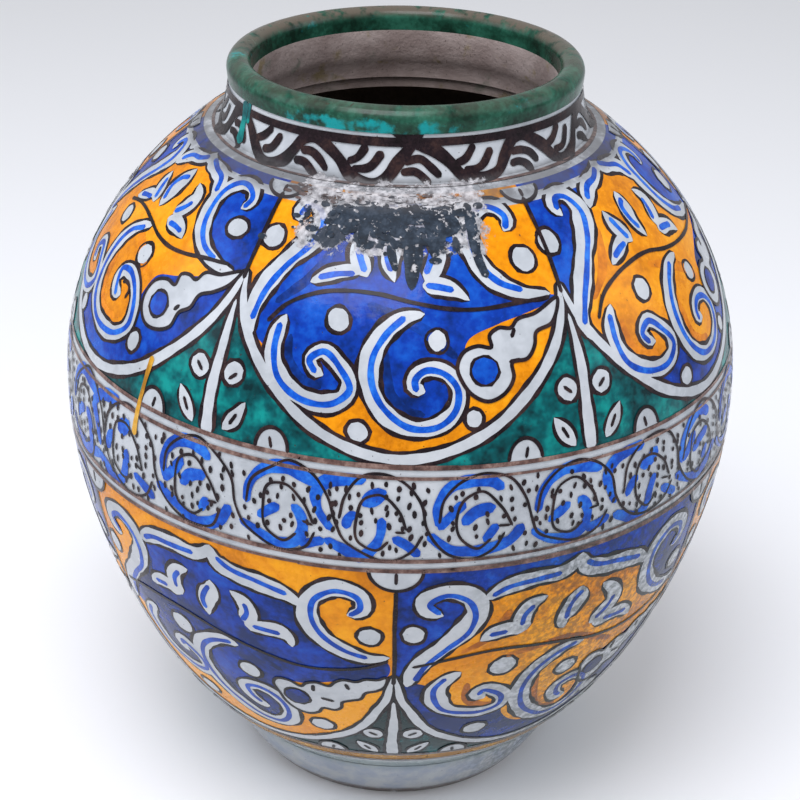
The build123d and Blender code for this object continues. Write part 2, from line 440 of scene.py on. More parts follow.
UPPER = {
    "swag": [
        (0, 349, 5.6), (4.5, 350.7, 5.6), (10, 357, 5.6), (14.9, 366, 5.6), (19.9, 380, 5.6),
        (24.5, 396, 5.4), (27.5, 410, 5), (29.6, 425, 4), (30.7, 440, 1),
    ],
    "cusp": 30.7, "divider": (433, 490), "top": 499, "base": 345.2, "stem_end": 4, "grow": 0.6,
    "pendant": (497, 5.2, 10),
    "field": [
        (-25, 405), (-26.6, 417), (-26, 430), (-23, 449), (-19.3, 464), (-17.2, 475), (-14, 481),
        (-8, 486), (-1, 491), (6, 488), (12, 481), (14.2, 470), (16, 452), (19.5, 442),
        (24, 436.5), (29.5, 432),
        (22, 425), (17, 421), (11, 411), (10.5, 404), (9.5, 385), (6, 370), (0, 364), (-4, 371),
        (-6.5, 385), (-8, 395), (-9, 382), (-14, 376), (-19, 380), (-22.5, 392), (-23, 400),
    ],
    "petals": [
        ([(-26, 404, 2), (-27, 417, 8), (-26.3, 430, 10), (-23.3, 449, 10), (-19.3, 465, 12),
          (-17.5, 476, 12), (-19.5, 486, 9), (-22.5, 487, 7), (-24.5, 481, 6), (-23.3, 474, 4)],
         [(-26.6, 413), (-25.8, 428), (-23, 446), (-19.3, 462), (-17.8, 474), (-19.8, 484),
          (-22.8, 484.5), (-24, 478)]),
        ([(22.6, 472, 4), (24.3, 478, 6), (23.3, 485, 7), (19.8, 488, 8), (16, 483, 9),
          (14, 473, 10), (14.6, 461, 10), (16.4, 450, 10), (19.5, 441.5, 8), (23.5, 436, 6),
          (28.3, 434, 2)],
         [(23.2, 473), (24, 480), (21.5, 486.5), (18, 487), (15, 479), (14.6, 467), (15.6, 455),
          (18.5, 444.5), (23, 438)]),
        ([(-14.6, 473, 3), (-12.4, 479.5, 8), (-8, 485.5, 9), (-4, 488, 8), (-1, 492, 5),
          (-0.2, 497, 1)], [(-13.4, 478), (-9, 484.5), (-4.4, 487.6), (-1.2, 492)]),
        ([(0, 496, 1), (1.6, 490.5, 7), (5.5, 488, 9), (9.4, 483.5, 10), (12, 476, 8),
          (12.8, 470, 3)], [(1.4, 493), (5, 488.6), (9.2, 484), (11.8, 475.5)]),
        ([(-10, 469, 1), (-9.3, 461, 8), (-7.8, 453, 9), (-6.6, 447, 4)],
         [(-9.2, 464), (-8.2, 456), (-7.2, 449.5)]),
        ([(-17.3, 440, 2), (-14, 446, 7), (-9.3, 450, 6), (-7.6, 450, 3)],
         [(-16, 443.4), (-12.5, 446.6), (-9, 448)]),
        ([(-1.5, 475, 2), (-1.9, 466, 9), (-2.4, 456, 8), (-1.3, 445, 1)],
         [(-1, 470), (-2.9, 466), (-3, 459), (-2, 451)]),
        ([(5.4, 470, 1), (7.4, 462, 8), (6.2, 453, 9), (4.6, 446, 6)],
         [(6.3, 463), (5.6, 456), (4.7, 450)]),
        ([(4, 443.5, 7), (7, 443.5, 9), (10.3, 440, 6), (12.5, 435, 1)],
         [(4.6, 444), (7, 443), (9.8, 441)]),
        ([(-20.3, 420, 2), (-21.3, 409, 8), (-21.2, 396, 9), (-19.3, 386, 9), (-16, 378.5, 9),
          (-11.5, 376, 9), (-8.5, 381, 8), (-8, 389, 8), (-10, 398, 7), (-13, 404, 7),
          (-14.7, 399, 6), (-13.8, 393, 6), (-12.3, 391, 4)],
         [(-21, 415), (-21.2, 400), (-20, 387), (-15, 376.2), (-10, 377), (-7.8, 385),
          (-9.5, 395), (-12.8, 403.5), (-14.9, 398), (-13.6, 391.5)]),
        ([(4.2, 428, 2), (1, 426, 6), (-2.2, 419, 9), (-4.5, 407, 10), (-5, 395, 10),
          (-4, 382, 9), (-1.5, 371.5, 9), (2.5, 366, 8), (6.5, 369, 8), (9, 378, 7),
          (9.3, 388, 7), (7.5, 396.5, 7), (4.8, 398.5, 7), (2.6, 395, 7), (2.2, 389, 7),
          (4, 386, 5)],
         [(0.8, 426), (-2.5, 416), (-4.5, 403), (-4.5, 392), (-2.5, 377), (2, 366.2), (6.3, 368),
          (8.9, 377), (9.2, 388), (7, 396), (4, 397), (2.5, 392), (2.7, 386)]),
    ],
    "lines": [
        [(-23.5, 414), (-21, 425), (-16, 434), (-10, 438), (-4, 438), (2, 434), (8, 431),
         (15, 430), (22, 431.5), (28, 432.5)],
        [(19, 413), (19.9, 418)], [(18, 400), (20.2, 400.5)],
    ],
    "cloud": [
        (9.3, 399), (10.5, 407), (13, 410), (15.3, 409), (15.2, 415), (17, 419), (19.3, 418.5),
        (20.4, 422), (24, 424.5), (29.4, 431), (27, 418), (23.5, 413.6), (23, 408), (21.3, 401),
        (18.5, 399.5), (18.5, 392), (16.5, 383), (14, 380), (11.5, 384), (10, 391),
    ],
    "eye": (13.8, 396.5, 14),
    "spots": [
        (-28, 462, 13, 15), (25, 455, 14, 15), (-10.9, 421.5, 12, 14), (6.2, 413.5, 10, 12),
        (-6.2, 362.8, 12, 11), (11.6, 371, 9, 10),
    ],
    "shadow": [
        [(-2.6, 410, 3), (-2.4, 396, 7), (-1.6, 383, 8), (1, 375, 7), (4, 374, 4)],
        [(-18.8, 410, 3), (-18.4, 396, 6), (-16, 387, 7), (-12.4, 384, 4)],
        [(9.5, 404, 4), (3, 421, 7), (-6, 432, 4)], [(-23, 425, 3), (-18, 441, 6), (-14, 462, 4)],
    ],
}

LOWER = {
    "swag": [
        (0, 96, 5.6), (10, 102.5, 5.6), (18, 117, 5.6), (22, 128, 5.6), (25, 142, 5.6),
        (27, 157, 5.2), (28.5, 168, 4.6), (29.4, 185, 3), (30, 196, 1),
    ],
    "cusp": 30.0, "divider": (186, 266), "top": 281.5, "base": 90.8, "stem_end": 18, "grow": 2.0,
    "pendant": (281.5, 4.2, 15),
    "field": [
        (-27.4, 190), (-25.4, 208), (-21.8, 222), (-18.2, 237), (-16.8, 250), (-14.5, 260),
        (-8, 266),
        (0, 270), (1, 265), (8, 258), (15, 251), (16, 235), (18, 222), (22, 213), (28.5, 209),
        (29.3, 203), (28.5, 192), (26, 188), (20, 185), (14, 178), (9, 174), (8.5, 165),
        (9, 150), (8.6, 135), (5, 122), (0, 120), (-5, 128), (-8, 141), (-9.5, 154),
        (-12, 149), (-17, 149.5), (-21, 157), (-23, 170), (-23.5, 182),
    ],
    "petals": [
        ([(-22.5, 247, 3), (-25.2, 251, 6), (-25.5, 259, 8), (-22.2, 265, 8), (-18.2, 260, 10),
          (-17, 248, 12), (-18.5, 236, 12), (-22, 221, 10), (-25.2, 208, 9), (-27, 195, 8),
          (-27.8, 184, 2)],
         [(-23, 248), (-24.7, 256), (-22.3, 262), (-18.7, 257), (-17.3, 246), (-18, 233),
          (-21.4, 219), (-24.7, 204), (-26.5, 190)]),
        ([(22.5, 246, 3), (24.8, 250, 6), (24.8, 260, 8), (21, 266, 9), (17, 257, 9),
          (16, 243, 10), (17.5, 228, 11), (21.5, 216, 9), (26, 210, 6), (29.2, 212, 1)],
         [(22.8, 246), (24.5, 252), (24.2, 259.5), (21, 264), (17.5, 256), (16.7, 243),
          (18, 228), (22, 215.5), (25.6, 211)]),
        ([(-16, 257, 3), (-13.5, 263, 8), (-8, 267, 8), (-3, 267, 7), (-1, 271, 5), (0, 277, 1)],
         [(-15, 259), (-13, 263), (-8, 265.5), (-3.5, 266.5)]),
        ([(-0.1, 277, 1), (0.8, 267, 8), (4, 262, 10), (9, 259, 10), (13, 255, 8), (15.3, 249, 2)],
         [(1, 270), (2.5, 266), (8, 260.5), (13, 256)]),
        ([(-8.3, 226, 7), (-9.3, 237, 9), (-8, 247, 7), (-5.4, 251, 1)],
         [(-7.5, 246), (-9, 239), (-9.2, 231)]),
        ([(-16, 223, 2), (-14, 228, 8), (-11, 230, 8), (-8.5, 226, 7)],
         [(-14.6, 227), (-11.5, 228)]),
        ([(-0.9, 250, 1), (-1, 243, 9), (-2.3, 234, 10), (-2.8, 226, 6), (-2.7, 219, 1)],
         [(-1.4, 245), (-2.6, 238), (-3.3, 231), (-3, 224)]),
        ([(2.8, 247, 1), (5, 241, 8), (5.7, 233, 9), (4.5, 224, 10)],
         [(5.2, 240), (5.4, 233), (4.2, 225)]),
        ([(4.5, 222, 9), (8, 223, 9), (11, 223.5, 9), (12.5, 219, 5), (12.8, 212, 1)],
         [(6, 222.4), (11, 221.5)]),
        ([(-18.5, 196, 2), (-20.7, 190, 7), (-22.5, 180, 10), (-22.2, 168, 11), (-20.5, 158, 9),
          (-17, 151.5, 8), (-12.5, 149, 8), (-9.5, 153, 8), (-9, 162, 8), (-11, 171, 8),
          (-13.5, 175.5, 8), (-14.9, 171, 8), (-13, 165, 6)],
         [(-21, 191), (-22.9, 180), (-22.5, 167), (-20.8, 157), (-16.5, 150.5), (-12.3, 149),
          (-9.7, 153.5), (-9.5, 162), (-11.5, 170), (-13.8, 173.5), (-14.4, 169)]),
        ([(2, 199, 2), (-1, 200, 6), (-4.5, 194, 9), (-7.5, 184, 10), (-8.8, 170, 11),
          (-8.3, 155, 11), (-6.5, 142, 11), (-3.5, 130, 11), (0.5, 121, 10), (5, 120, 9),
          (8, 127, 9), (9.1, 139, 9), (8.2, 151, 9), (5.5, 159, 8), (2.5, 160, 8), (0, 155, 8),
          (0.5, 146, 8), (2.5, 139, 7), (4.3, 138, 5)],
         [(0.5, 200), (-3.4, 195), (-7, 184), (-8.5, 170), (-8, 155), (-6.2, 141), (-3, 129),
          (1, 120.5), (5.3, 120.5), (8, 130), (8.6, 142), (7, 154), (3.5, 159.5), (0.7, 156),
          (1, 146), (2.7, 140)]),
    ],
    "lines": [
        [(-27, 203), (-20, 210), (-12, 213), (-5, 210), (1, 205), (8, 199), (13, 196), (20, 197),
         (26, 203), (29, 209)],
        [(15.5, 178), (15.2, 171)], [(21.5, 184), (22, 178)], [(19, 163), (16.5, 165)],
    ],
    "cloud": [
        (7.5, 172), (8.5, 177), (11, 177.5), (13, 174), (14, 178), (16, 181), (18.5, 179.5),
        (19.5, 184), (21, 187.5), (23.5, 187), (25, 190), (27.3, 190.5), (28.6, 193),
        (28.3, 183), (27, 179), (25, 176), (24, 169), (22, 166), (20.5, 163), (20.2, 157),
        (19, 153), (16.5, 153), (15.5, 147.5), (13, 143), (10.5, 146), (9, 152), (8.2, 161),
    ],
    "eye": (11.7, 161.5, 15),
    "spots": [
        (-27, 232, 13, 15), (-11, 196.5, 17, 17), (3, 177, 15, 14), (-13, 127, 15, 14),
        (15.5, 131, 15, 14), (26, 229.5, 14, 14),
    ],
    "shadow": [
        [(-6.2, 178, 4), (-6, 160, 8), (-4.4, 145, 8), (-1.4, 132, 7), (3, 129, 4)],
        [(-20, 184, 3), (-19.6, 168, 7), (-17, 158, 7), (-12.6, 156, 4)],
        [(10, 186, 4), (-2, 208, 6), (-14, 206, 4)], [(-22, 214, 3), (-17, 226, 6), (-14.6, 246, 5)],
    ],
}
# The decorator's hand varied.  On some panels the shoulder's palmette is rounder, with its
# spirals further to the left, and some under the belly have fuller leaves.
ROUND_UPPER = {
    **UPPER,
    "petals": [
        *UPPER["petals"][:6],
        ([(-1.5, 481, 1), (-2.4, 472, 10), (-3.2, 463, 13), (-3.4, 455, 9), (-3.4, 448, 1)],
         [(-1.2, 474), (-3.6, 471), (-4.9, 464), (-3.8, 453)]),
        ([(3.8, 475, 1), (6.3, 467, 8), (5.6, 459, 10), (3.2, 450, 9)],
         [(6.4, 463), (5, 457.5), (3, 452)]),
        ([(2.6, 446.5, 8), (6, 446.5, 10), (9, 443.5, 6), (11, 440.5, 1)],
         [(3.8, 444.6), (6.4, 445), (9, 444)]),
        [placed(path, -3) for path in UPPER["petals"][9]],
        ([(-0.6, 437, 2), (-4, 432, 6), (-7.6, 421, 9), (-9.2, 407, 10), (-9.1, 393, 10),
          (-7.4, 381, 10), (-4, 373, 9), (0.5, 370, 9), (4.6, 373, 8), (7.1, 381, 8),
          (7.1, 391, 8), (5.4, 401, 8), (2.4, 407, 8), (-0.9, 405.5, 7), (-2, 399, 7),
          (-0.6, 393, 8), (1.6, 393, 5)],
         [(-2.6, 433), (-6.8, 425), (-9, 411), (-9.2, 396), (-7.8, 382), (-4.2, 372),
          (0, 369.6), (4.4, 373), (7.3, 383), (7, 391), (5, 402), (1, 408), (-1.6, 405.5),
          (-1.2, 398), (0, 390.5)]),
    ],
    "lines": [
        [(-17, 435), (-12, 440), (-8, 441), (-3, 439), (3, 434.6), (9, 433), (14, 434),
         (19, 436.6), (25, 438.6)],
        [(0.6, 400), (2.2, 401.6), (3.6, 399), (3.4, 393)], [(17, 403), (18, 407)],
    ],
    "cloud": [
        (8.5, 403), (9.5, 412), (12.5, 416.6), (15, 416), (15.2, 422.5), (17.3, 424.5),
        (19.2, 423.4), (20.4, 428.6), (24, 431), (28.4, 436), (27, 428), (24, 420.6),
        (21.3, 416), (20.4, 408), (18.4, 403), (17.6, 394), (14.5, 388.5), (11.5, 388.5),
        (9.2, 395),
    ],
    "eye": (13, 402, 13.5),
    "spots": [
        (-27, 462, 13, 14), (22.6, 460.5, 14, 12), (-13.6, 428, 12, 12), (2.6, 421, 14, 13),
        (-11.6, 368.6, 10, 11), (10, 375.6, 10, 13),
    ],
    "field": UPPER["field"][:14] + [
        (22, 430), (15, 421), (9, 414), (7.8, 404), (7.2, 391), (6.8, 380), (4, 373),
        (0.4, 370.5), (-3.8, 374), (-7.4, 382), (-9.4, 393), (-11.4, 383), (-15, 376),
        (-20, 377), (-24, 385), (-26, 396),
    ],
    "shadow": [
        [(-6.4, 410, 4), (-6.6, 396, 8), (-5, 384, 7), (-1.6, 378.6, 7), (2.6, 380, 4)],
        [(6, 412, 4), (-1, 426, 7), (-6, 434, 4)],
    ],
}
FULL_LOWER = {
    **LOWER,
    "petals": [
        *LOWER["petals"][:6],
        ([(0.9, 251, 5), (0.6, 243, 13), (-0.5, 234, 12), (-1.5, 226, 6), (-0.8, 219, 1)],
         [(1.3, 247.6), (-0.2, 241), (-0.8, 233), (-0.7, 226.6)]),
        ([(5.4, 247, 1), (8.2, 238, 8), (9, 229, 10), (6.8, 220, 10), (4.8, 214.5, 7)],
         [(9, 232), (8, 224.6), (5.8, 217)]),
        ([(5.6, 213, 7), (9.2, 214, 9), (12.4, 213, 8), (14.4, 208, 4), (15.4, 204, 1)],
         [(8, 213.4), (11, 211.8), (13.8, 211)]),
        *LOWER["petals"][9:],
    ],
}
UPPER_EDGES = [-30.7, 30.7, 90, 150, 210, 270]    # degrees, the left edge of each panel
LOWER_EDGES = [-60.0, 0.0, 60.0, 120.0, 180.0, 240.0]
ROUND_PANELS, FULL_PANELS = (3, 5), (1, 4)
SIDE_PULL = 1.9       # degrees that the blue shoulder panels' scrolls are drawn in
SPIRAL_SHIFT = 3.0    # degrees that the long spiral moves where the leaves are full
SPOT_SIZE = 0.93      # the spots came out a little smaller than drawn
THIN_MARK = 2         # mm, the short marks on leaves and pendants
ORANGE, BLUE = "orange", "blue"


def mark(zone, start, end):
    """A short thin touch of dark."""
    stroke(zone + "_dark_lines", [start, end], LINE, THIN_MARK)


def spandrel(zone, motif, cusp, before, after):
    """Green ground between two swags, with a plant growing up it."""
    swag, base = motif["swag"], motif["base"]
    rise = [(a, u) for a, u, _ in swag[:-1]]
    left, right = [
        curve_through(placed(rise, centre, flip, widen), step=2, scale=FLAT_DEGREE)
        for (centre, widen), flip in ((before, False), (after, True))
    ]
    top = swag[-1][1] - 3
    outline = left + [(cusp, top)] + right[::-1]
    start, end = outline[0][0], outline[-1][0]
    floor = [(end + (start - end) * i / 24, base) for i in range(25)]
    fill(zone + "_green_ground", outline + floor, FIELD)
    apex = swag[-2][1] - motif["stem_end"]
    height = apex - base
    petal(zone, [(cusp, base - 1, 7), (cusp - 0.2, base + height * 0.3, 5.6),
                 (cusp + 0.1, base + height * 0.65, 4.6), (cusp, apex, 1.2)])
    degree = skin.mm_per_degree(base + 20)
    for side in (-1, 1):
        sway = hand.uniform(-1, 1)
        spot(zone, cusp + side * 11.5 / degree, base + 36 + sway, 11.5, 13, -0.5 * side)
        mark(zone, (cusp + side * 9 / degree, base + 33), (cusp + side * 14 / degree, base + 37.5))
        petal(zone, [(cusp + side * 10 / degree, base + 4 + sway, 2.5),
                     (cusp + side * 16 / degree, base + 12, 7.5),
                     (cusp + side * 22 / degree, base + 22 + sway, 1)])
        mark(zone, (cusp + side * 14 / degree, base + 8.5),
             (cusp + side * 18 / degree, base + 15.5))
        centre = cusp + side * 40 / degree
        half_disc(zone, centre, base + 0.5, 9.5 / degree, 12.5)
        mark(zone, (centre, base + 1.5), (centre - side * 0.4, base + 8))


def panel(zone, motif, left, right, centre, ground, shift=0.0, by=0.0):
    """One swagged panel with its palmette.

    shift moves the palmette's long spiral and shadows, and by draws its sides in.
    """
    middle = (left + right) / 2
    widen = (right - left) / 2 / motif["cusp"]
    swag = motif["swag"]
    whole = placed(swag[:0:-1], middle, True, widen) + placed(swag, middle, False, widen)
    line = [(a, u) for a, u, _ in curve_through(whole, step=2, scale=FLAT_DEGREE)]
    top = motif["top"]
    across = [(right + (left - right) * i / 30, top) for i in range(31)]
    fill(f"{zone}_{ground}_ground", line + across, FIELD)
    stroke(zone + "_dark_edges", whole, EDGE, None, 2 * DARK_LINE, shake=0)
    stroke(zone + "_white_petals", whole, WHITE, shake=0)
    other = BLUE if ground == ORANGE else ORANGE
    outline = placed(drawn_in(motif["field"], by), centre)
    field = curve_through(outline, True, SMOOTH, FLAT_DEGREE)
    fill(f"{zone}_{other}_palmettes", field, PALMETTE)
    for path, accent in motif["petals"]:
        long_spiral = len(path) > 10 and abs(path[0][0]) < 5
        move = centre + (shift if long_spiral else 0)
        path, accent = [placed(drawn_in(line, by), move) for line in (path, accent)]
        petal(zone, path, accent, motif["grow"])
    for path in motif["shadow"]:
        stroke(f"{zone}_pooled_{other}", placed(path, centre + shift), PALMETTE + 0.5)
    cut_shape(zone, motif["cloud"], centre)
    angle, up, wide = motif["eye"]
    dab(zone + "_dark_lines", centre + angle, up, wide + 3.4, wide + 3.4, ACCENT)
    dab(zone + "_blue_eyes", centre + angle, up, wide, wide, LINE)
    for path in motif["lines"]:
        stroke(zone + "_dark_lines", placed(path, centre), LINE, DARK_LINE + 0.2)
    for angle, up, wide, tall in motif["spots"]:
        lean = hand.uniform(-0.4, 0.4)
        spot(zone, centre + angle, up, wide * SPOT_SIZE, tall * SPOT_SIZE, lean)
    low, high = motif["divider"]
    stroke(zone + "_dark_lines", [(left, low), (left, (low + high) / 2), (left, high)], LINE, 2.6)
    up, wide, deep = motif["pendant"]
    half_disc(zone, left, up, wide, -deep)
    mark(zone, (left, up - deep * 0.15), (left, up - deep * 0.7))


def paint_panels():
    """The panels of the shoulder, then the ones under the belly, each with its spandrel."""
    for i, left in enumerate(UPPER_EDGES):
        right = UPPER_EDGES[i + 1] if i < 5 else UPPER_EDGES[0] + 360
        motif = ROUND_UPPER if i in ROUND_PANELS else UPPER
        odd = i % 2
        panel("shoulder", motif, left, right, 60.0 * i, (ORANGE, BLUE)[odd], by=SIDE_PULL * odd)
        spandrel_at("shoulder", UPPER, UPPER_EDGES, i)
    for i, left in enumerate(LOWER_EDGES):
        full = i in FULL_PANELS
        panel("belly", FULL_LOWER if full else LOWER, left, left + 60, left + 30,
              (ORANGE, BLUE)[i % 2], SPIRAL_SHIFT * full)
        spandrel_at("belly", LOWER, LOWER_EDGES, i)


def spandrel_at(zone, motif, edges, i):
    """The spandrel at the left edge of a panel, between it and the panel before."""
    here = edges[i]
    last = edges[i - 1] if i else edges[-1] - 360
    following = edges[i + 1] if i + 1 < len(edges) else edges[0] + 360
    before = ((last + here) / 2, (here - last) / 2 / motif["cusp"])
    after = ((here + following) / 2, (following - here) / 2 / motif["cusp"])
    spandrel(zone, motif, here, before, after)


# ---------------------------------------------------------------------------
# The band round the belly, the rings, the neck and the foot
# ---------------------------------------------------------------------------

BAND_LOW, BAND_HIGH = 287.5, 337.5
SPRAYS, FIRST_SPRAY = 24, -47.2   # how many, and the angle of the first
BELLY_DEGREE = 3.65   # mm to a degree at the band
DASH_STEP = 6.4       # mm from one row of dashes to the next
NECK_WAVES = 11
DRAWN_WAVE = 33       # degrees that a wave is given over in its drawing
CRUST_FLECKS, SCORCH_FLECKS = 150, 120
CRUST_TOP = 495       # mm up the wall
SPRAY_LINES = [
    [(-6.5, 312), (-5.6, 327), (-2.7, 338), (0, 341), (3.5, 337), (6.3, 325), (7.4, 309),
     (8.6, 300), (11.2, 292), (15, 287.6), (18.5, 292), (20.2, 303)],
    [(4.2, 306.5), (2.5, 320), (-0.5, 329), (-2.7, 326), (-3.9, 314), (-3.2, 299), (-0.7, 294.3),
     (1.3, 300)],
    [(2.3, 306.8), (4.2, 306.3)],
]
SPRAY_BLUES = [
    [
        [(-6.3, 313, 3), (-6, 323, 4), (-4.8, 332, 5), (-2.4, 336.7, 6), (0.5, 336.7, 6.2),
         (3, 334, 6), (4.4, 331, 4)],
        [(-7.5, 302, 3), (-5.5, 296, 4.5), (-2.5, 291.6, 5.6), (1, 293.5, 5.6), (2.2, 304, 4.6),
         (1.7, 313, 5), (0.4, 317, 4)],
        [(-4.8, 305, 3.6), (-3, 311, 5), (-1, 315.5, 3.6)],
        [(2, 293, 4), (4, 295, 5), (6, 297.5, 4)],
    ],
    [
        [(-8, 304, 3), (-9.8, 317, 4), (-10.4, 326, 5.6), (-9, 333, 6), (-6, 335.8, 6),
         (-2.3, 337.5, 5)],
        [(-2.8, 322, 6), (-1, 326, 8), (0.6, 330.5, 5)],
        [(-5.8, 306, 3.6), (-5, 313, 4.6), (-3.8, 318, 4)],
        [(0.2, 314, 3.6), (-0.2, 303, 4), (-1, 294, 5), (-3.1, 289.6, 5.6), (-6, 292.6, 5.4),
         (-8.8, 298, 4)],
        [(2.2, 302, 3.6), (4.5, 296, 5), (6.5, 291.5, 4)],
    ],
    [
        [(-6.2, 309, 3), (-6.8, 320, 4), (-5, 332.5, 5.4), (-2, 337, 6), (1, 335.6, 6),
         (2.7, 330.5, 4.4)],
        [(-6.3, 308.6, 3), (-4.6, 316, 4.6), (-2.6, 325, 5)],
        [(-3, 311, 4), (-1, 317, 6), (1.9, 320, 5.6)],
        [(-8, 305, 4), (-4.6, 296, 5), (0, 291.2, 5.8), (4.4, 298, 6), (6.1, 306, 5)],
        [(2.1, 308, 4), (0.5, 299, 4.4)],
    ],
]


def paint_band():
    """Sprays with small dashes between them, all quick brushwork."""
    for n in range(SPRAYS):
        centre = FIRST_SPRAY + n * 360 / SPRAYS + hand.uniform(-0.7, 0.7)
        grow = hand.uniform(0.92, 1.06)

        def here(path, slack=0.35):
            return [
                (a * grow + hand.uniform(-slack, slack), u + hand.uniform(-1.2, 1.2), *w)
                for a, u, *w in path
            ]

        lines = [placed(here(path, 0.2), centre) for path in SPRAY_LINES]
        blues = [placed(here(path), centre) for path in SPRAY_BLUES[(n + 1) % 3]]
        for path in lines:
            stroke("waist_dark_lines", path, LINE, FINE_LINE)
        for path in blues:
            stroke("waist_blue_sprays", path, ACCENT, grow=1.4)
        # places already taken, with the mm that a dash keeps clear of them
        taken = [
            (a, u, gap) for paths, gap in ((blues, 3), (lines, 1)) for path in paths
            for a, u in curve_through([place[:2] for place in path], step=3, scale=4)
        ]
        step = 360 / SPRAYS / 8
        for column in range(8):
            for row in range(8):
                angle = centre + (column - 3.5) * step + hand.uniform(-0.55, 0.55)
                up = BAND_LOW + 3 + (row + column % 2 / 2) * DASH_STEP + hand.uniform(-1.7, 1.7)
                near = min(hypot((angle - a) * BELLY_DEGREE, up - u) - gap for a, u, gap in taken)
                if near > 0 and up < BAND_HIGH - 2:
                    lean, tall = hand.uniform(-0.35, 0.35), hand.uniform(3.2, 5.0)
                    dab("waist_dashes", angle, up, hand.uniform(2, 3), tall, LINE, lean, 8)


def ring(coat, up, width, level=LINE, wobble=0.35):
    """A line painted round the jar while it turns, which wobbles 3 and 7 times a turn."""
    seed = hand.uniform(0, 9)
    path = []
    for a in range(0, 360, 6):
        sway = sin(radians(a) * 3 + seed) * 0.7 + sin(radians(a) * 7 + seed * 2) * 0.3
        path.append((a, up + wobble * sway))
    stroke(coat, path, level, width, closed=True)


def paint_rings():
    for up, width in ((344.6, 1.7), (338.6, 1.7), (286.6, 1.6), (281.2, 1.8), (90.6, 2.2)):
        ring("brown_rings", up, width)
    ring("brown_rings", 505.4, 1.6, wobble=0.5)
    ring("foot_orange_ring", 80.6, 11, FIELD, 0.4)
    ring("brown_rings", 74.8, 1.8)


def paint_neck():
    """A running wave with finger strokes above and below it."""
    wave = [(5, 528), (10, 523.5), (14, 517), (17, 511), (20, 508), (26, 508), (29, 512),
            (31, 518), (34, 525)]
    fingers = [
        [(0.5, 518.5), (4.5, 519.3), (8, 516), (10, 510.5)],
        [(-0.5, 512.8), (3, 512.6), (6, 509), (7, 505.5)],
        [(15.5, 517), (18.8, 519.5), (21.6, 526.5)], [(18.2, 512.8), (23, 515), (26, 524)],
    ]
    period = 360 / NECK_WAVES
    path = []
    for n in range(NECK_WAVES):
        shift = n * period
        for a, u in wave:
            path.append((a * period / DRAWN_WAVE + shift, u + 0.9 + hand.uniform(-0.7, 0.7)))
        for finger in fingers:
            bent = [(a + shift + hand.uniform(-0.7, 0.7), u + 1.2 + hand.uniform(-0.6, 0.6), w)
                    for (a, u), w in zip(finger, (4, 4.8, 4.8, 4))]
            stroke("neck_dark_strokes", bent, ACCENT)
    path = [(a, u, 6.8 + 0.8 * sin(i * 1.9)) for i, (a, u) in enumerate(path)]
    stroke("neck_dark_strokes", path, LINE, closed=True)
    ring("neck_top_line", 530.3, 4.2, LINE, 0.5)


def run_down(coat, angle, top, bottom, width, bend=0.0):
    """A run of glaze, thin where it starts and swollen at its end."""
    drop = top - bottom
    stroke(coat, [
        (angle, top, width * 0.9),
        (angle + bend * 0.4, top - drop * 0.35, width * 0.7),
        (angle + bend * 0.8, top - drop * 0.7, width * 0.75),
        (angle + bend, bottom + 2, width * 1.1),
    ], DRIP)


def paint_accidents():
    """Runs and blots from the firing, and dark crust left on the shoulder."""
    run_down("green_runs", -59, 536, 508, 8.5, bend=0.6)
    run_down("green_runs", -56.4, 536, 521, 4)
    run_down("green_runs", 118, 536, 514, 6)
    run_down("green_runs", 201, 536, 519, 5)
    run_down("ochre_runs", -44, 374, 323, 4.4, bend=-1.6)
    run_down("ochre_runs", 141, 372, 333, 2.4, bend=0.6)
    crust = [
        [(15.6, 491, 5), (15.2, 478, 6), (15.4, 462, 5.5), (16.8, 447, 5)],
        [(-2.2, 471, 5), (-2.4, 462, 5), (-1.4, 451, 3)],
        [(2.2, 478, 8), (2.6, 462, 10), (1.8, 447, 7), (1.6, 441, 3)],
        [(-8.5, 480, 7), (-8.2, 468, 5), (-7.8, 461, 2.5)],
        [(7, 478, 12), (7.6, 468, 10), (6.4, 459, 4)],
        [(-13, 486, 7), (-13.2, 476, 6), (-11.5, 471, 3)],
    ]
    for path in crust:
        stroke("shoulder_crust", path, DRIP, shake=0.8)
    for angle, up, wide, tall in (
        (-10, 484, 20, 9), (-3, 482, 26, 12), (4, 484, 24, 10), (9, 478, 20, 14), (6, 489, 30, 4),
        (-6, 477, 14, 8), (-1, 474, 9, 7),
    ):
        dab("shoulder_crust", angle, up, wide, tall, DRIP, hand.uniform(-0.2, 0.2), 26)
    for _ in range(CRUST_FLECKS):
        size = hand.uniform(1.2, 5.5)
        angle, up = hand.gauss(-3, 9.5), hand.gauss(479, 8)
        if up < CRUST_TOP:
            dab("shoulder_crust", angle, up, size * hand.uniform(0.8, 2), size, DRIP, 0, 9)
    # the brown scorch in the angle under the bead
    for _ in range(SCORCH_FLECKS):
        angle, size = hand.uniform(-30, 14), hand.uniform(1, 3)
        dab("brown_rings", angle, hand.gauss(493.5, 1.8), size * 2.4, size, DRIP, 0, 8)


# ---------------------------------------------------------------------------
# Glazes and clay.  Every pattern reads the piece's own place in metres, and
# takes its scale from a size in mm.
# ---------------------------------------------------------------------------

GLOSS = 0.16          # how strongly a glaze mirrors, the same all over it
CORNER = 0.4365       # m, height of the corner under the bead, where dust packs
SWELL = 0.35          # mm that a glaze swells and pits
ROUGHNESS_INSIDE = 0.7
MARKS = 0.6           # mm that the potter's finger marks stand up inside
MARK_STEP = 9         # mm from one finger mark to the next
WAVE_TURN = 20        # a wave texture takes about this many units for its full turn


def paint(code):
    """An sRGB hex colour as linear numbers."""
    parts = [int(code[i:i + 2], 16) / 255 for i in (1, 3, 5)]
    return (*[p / 12.92 if p <= 0.04045 else ((p + 0.055) / 1.055) ** 2.4 for p in parts], 1)


